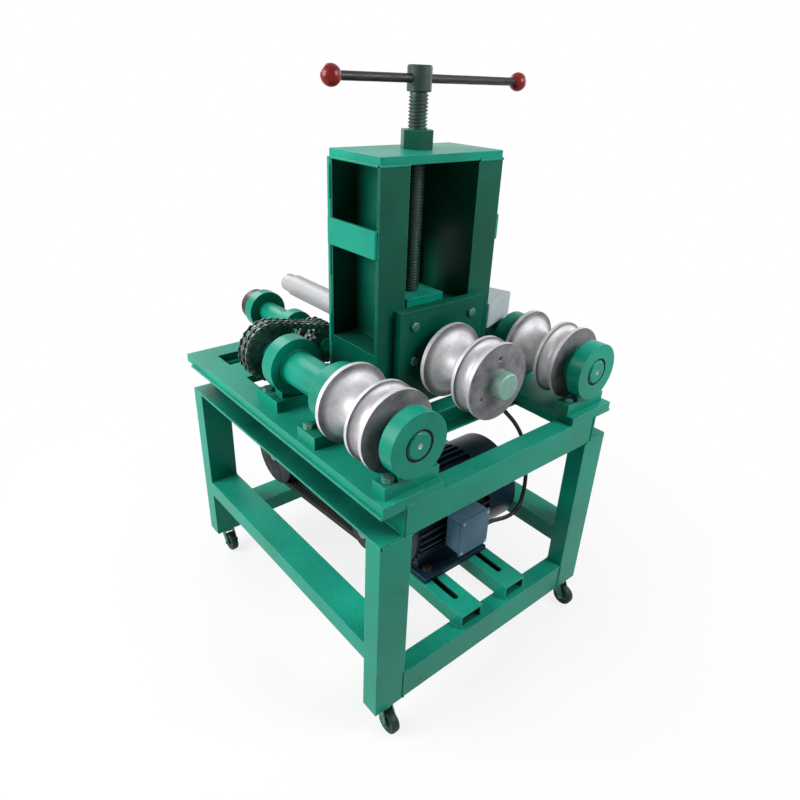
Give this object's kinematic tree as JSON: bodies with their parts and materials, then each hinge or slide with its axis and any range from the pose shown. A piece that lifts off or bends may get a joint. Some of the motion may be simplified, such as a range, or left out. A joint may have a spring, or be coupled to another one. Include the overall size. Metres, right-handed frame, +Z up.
{
  "type": "three-roller pipe bender",
  "caption": "Electric pipe bender on a wheeled steel stand: driven grooved lower rollers and a pressing roller on a hand-screw slide.",
  "frame": {"origin": "on the floor under the middle of the machine's box", "axes": "+Z up, -Y towards the operator at the roller side, +X to the operator's right"},
  "size_m": [0.64, 0.837, 1.201],
  "materials": {
    "green_paint": "glossy enamel",
    "turned_steel": "turned",
    "dark_steel": "oiled",
    "screw_steel": "painted and oiled",
    "bronze": "machined",
    "zinc_steel": "zinc plated",
    "black_rubber": "matte",
    "cable_sheath": "satin",
    "black_plastic": "moulded",
    "motor_paint": "satin enamel",
    "grey_paint": "satin enamel",
    "black_steel": "blackened",
    "red_plastic": "gloss",
    "cast_iron": "machined cast iron",
    "wheel_rubber": "worn"
  },
  "bodies": {
    "frame": {"legs": "green_paint", "top_side_channels": "green_paint", "top_cross_beams": "green_paint", "lower_rails": "green_paint", "motor_rails": "green_paint", "base_plates": "green_paint", "column_uprights": "green_paint", "column_top_plate": "green_paint", "column_back_plate": "green_paint", "column_tie_bars": "green_paint", "lead_nut": "green_paint", "end_pedestals": "green_paint", "bearing_housings": "green_paint", "bearing_bushes": "bronze", "jack_housing": "green_paint", "frame_bolts": "zinc_steel", "drive_chains": "dark_steel", "reducer_housing": "green_paint", "reducer_covers": "green_paint", "v_belts": "black_rubber", "motor_frame": "motor_paint", "motor_end_covers": "motor_paint", "terminal_box": "motor_paint", "control_box": "grey_paint", "motor_cable": "cable_sheath", "cable_glands": "black_plastic", "caster_plates": "zinc_steel"},
    "left_roller_set": {"left_shaft": "green_paint", "left_roller": "turned_steel", "left_sprocket": "dark_steel"},
    "right_roller_set": {"right_shaft": "green_paint", "right_roller": "turned_steel", "right_sprocket": "dark_steel"},
    "slide": {"slide_block": "green_paint", "slide_front_plate": "green_paint", "slide_bolts": "zinc_steel", "slide_bushes": "bronze", "thrust_cap": "green_paint"},
    "centre_roller_set": {"centre_shaft": "turned_steel", "centre_roller": "turned_steel"},
    "screw": {"press_screw": "screw_steel"},
    "handle": {"t_bar": "black_steel", "ball_knobs": "red_plastic"},
    "jackshaft": {"jack_shaft": "green_paint", "jack_sprockets": "dark_steel"},
    "reducer_output": {"output_shaft": "turned_steel", "output_gears": "dark_steel"},
    "reducer_input": {"worm_shaft": "turned_steel", "reducer_pulley": "cast_iron"},
    "motor_rotor": {"motor_shaft": "turned_steel", "motor_pulley": "cast_iron"},
    "switch": {"switch_knob": "black_plastic"},
    "caster_front_left": {"caster_fork_front_left": "zinc_steel"},
    "wheel_front_left": {"caster_wheel_front_left": "wheel_rubber"},
    "caster_front_right": {"caster_fork_front_right": "zinc_steel"},
    "wheel_front_right": {"caster_wheel_front_right": "wheel_rubber"},
    "caster_rear_left": {"caster_fork_rear_left": "zinc_steel"},
    "wheel_rear_left": {"caster_wheel_rear_left": "wheel_rubber"},
    "caster_rear_right": {"caster_fork_rear_right": "zinc_steel"},
    "wheel_rear_right": {"caster_wheel_rear_right": "wheel_rubber"}
  },
  "joints": [
    {"name": "slide_lift", "type": "slide", "parent": "frame", "child": "slide", "axis": [0, 0, 1], "range_m": [-0.0201, 0.1701]},
    {"name": "screw_turn", "type": "hinge", "parent": "slide", "child": "screw", "pos_m": [0, -0.0725, 1], "axis": [0, 0, 1], "range_deg": [-1200, 10200]},
    {"name": "handle_slide", "type": "slide", "parent": "screw", "child": "handle", "axis": [1, 0, 0], "range_m": [-0.22, 0.146]},
    {"name": "centre_roller_spin", "type": "hinge", "parent": "slide", "child": "centre_roller_set", "pos_m": [0, 0.0135, 0.681], "axis": [0, 1, 0], "continuous": true},
    {"name": "motor_spin", "type": "hinge", "parent": "frame", "child": "motor_rotor", "pos_m": [0, -0.1415, 0.283], "axis": [1, 0, 0], "continuous": true},
    {"name": "worm_spin", "type": "hinge", "parent": "frame", "child": "reducer_input", "pos_m": [0, 0.2485, 0.285], "axis": [1, 0, 0], "continuous": true},
    {"name": "output_spin", "type": "hinge", "parent": "frame", "child": "reducer_output", "pos_m": [0.0175, 0.2485, 0.385], "axis": [0, 1, 0], "continuous": true},
    {"name": "jackshaft_spin", "type": "hinge", "parent": "frame", "child": "jackshaft", "pos_m": [-0.1095, 0.2485, 0.645], "axis": [0, 1, 0], "continuous": true},
    {"name": "left_roller_spin", "type": "hinge", "parent": "frame", "child": "left_roller_set", "pos_m": [-0.242, 0.0135, 0.658], "axis": [0, 1, 0], "continuous": true},
    {"name": "right_roller_spin", "type": "hinge", "parent": "frame", "child": "right_roller_set", "pos_m": [0.242, 0.0135, 0.658], "axis": [0, 1, 0], "continuous": true},
    {"name": "switch_turn", "type": "hinge", "parent": "frame", "child": "switch", "pos_m": [0.2581, -0.09143, 0.725], "axis": [0.9511, 0.309, 0], "range_deg": [-45, 45]},
    {"name": "swivel_front_left", "type": "hinge", "parent": "frame", "child": "caster_front_left", "pos_m": [-0.285, -0.3715, 0.058], "axis": [0, 0, 1], "continuous": true},
    {"name": "roll_front_left", "type": "hinge", "parent": "caster_front_left", "child": "wheel_front_left", "pos_m": [-0.285, -0.3935, 0.025], "axis": [1, 0, 0], "continuous": true},
    {"name": "swivel_front_right", "type": "hinge", "parent": "frame", "child": "caster_front_right", "pos_m": [0.285, -0.3715, 0.058], "axis": [0, 0, 1], "continuous": true},
    {"name": "roll_front_right", "type": "hinge", "parent": "caster_front_right", "child": "wheel_front_right", "pos_m": [0.285, -0.3935, 0.025], "axis": [1, 0, 0], "continuous": true},
    {"name": "swivel_rear_left", "type": "hinge", "parent": "frame", "child": "caster_rear_left", "pos_m": [-0.285, 0.3205, 0.058], "axis": [0, 0, 1], "continuous": true},
    {"name": "roll_rear_left", "type": "hinge", "parent": "caster_rear_left", "child": "wheel_rear_left", "pos_m": [-0.285, 0.2985, 0.025], "axis": [1, 0, 0], "continuous": true},
    {"name": "swivel_rear_right", "type": "hinge", "parent": "frame", "child": "caster_rear_right", "pos_m": [0.285, 0.3205, 0.058], "axis": [0, 0, 1], "continuous": true},
    {"name": "roll_rear_right", "type": "hinge", "parent": "caster_rear_right", "child": "wheel_rear_right", "pos_m": [0.285, 0.2985, 0.025], "axis": [1, 0, 0], "continuous": true}
  ],
  "couplings": [
    {"joint": "slide_lift", "follows": "screw_turn", "m_per_rad": 0.00095493},
    {"joint": "worm_spin", "follows": "motor_spin", "ratio": 0.52055},
    {"joint": "output_spin", "follows": "motor_spin", "ratio": 0.017352},
    {"joint": "jackshaft_spin", "follows": "motor_spin", "ratio": 0.017352},
    {"joint": "left_roller_spin", "follows": "motor_spin", "ratio": 0.011316},
    {"joint": "right_roller_spin", "follows": "motor_spin", "ratio": 0.011316}
  ]
}
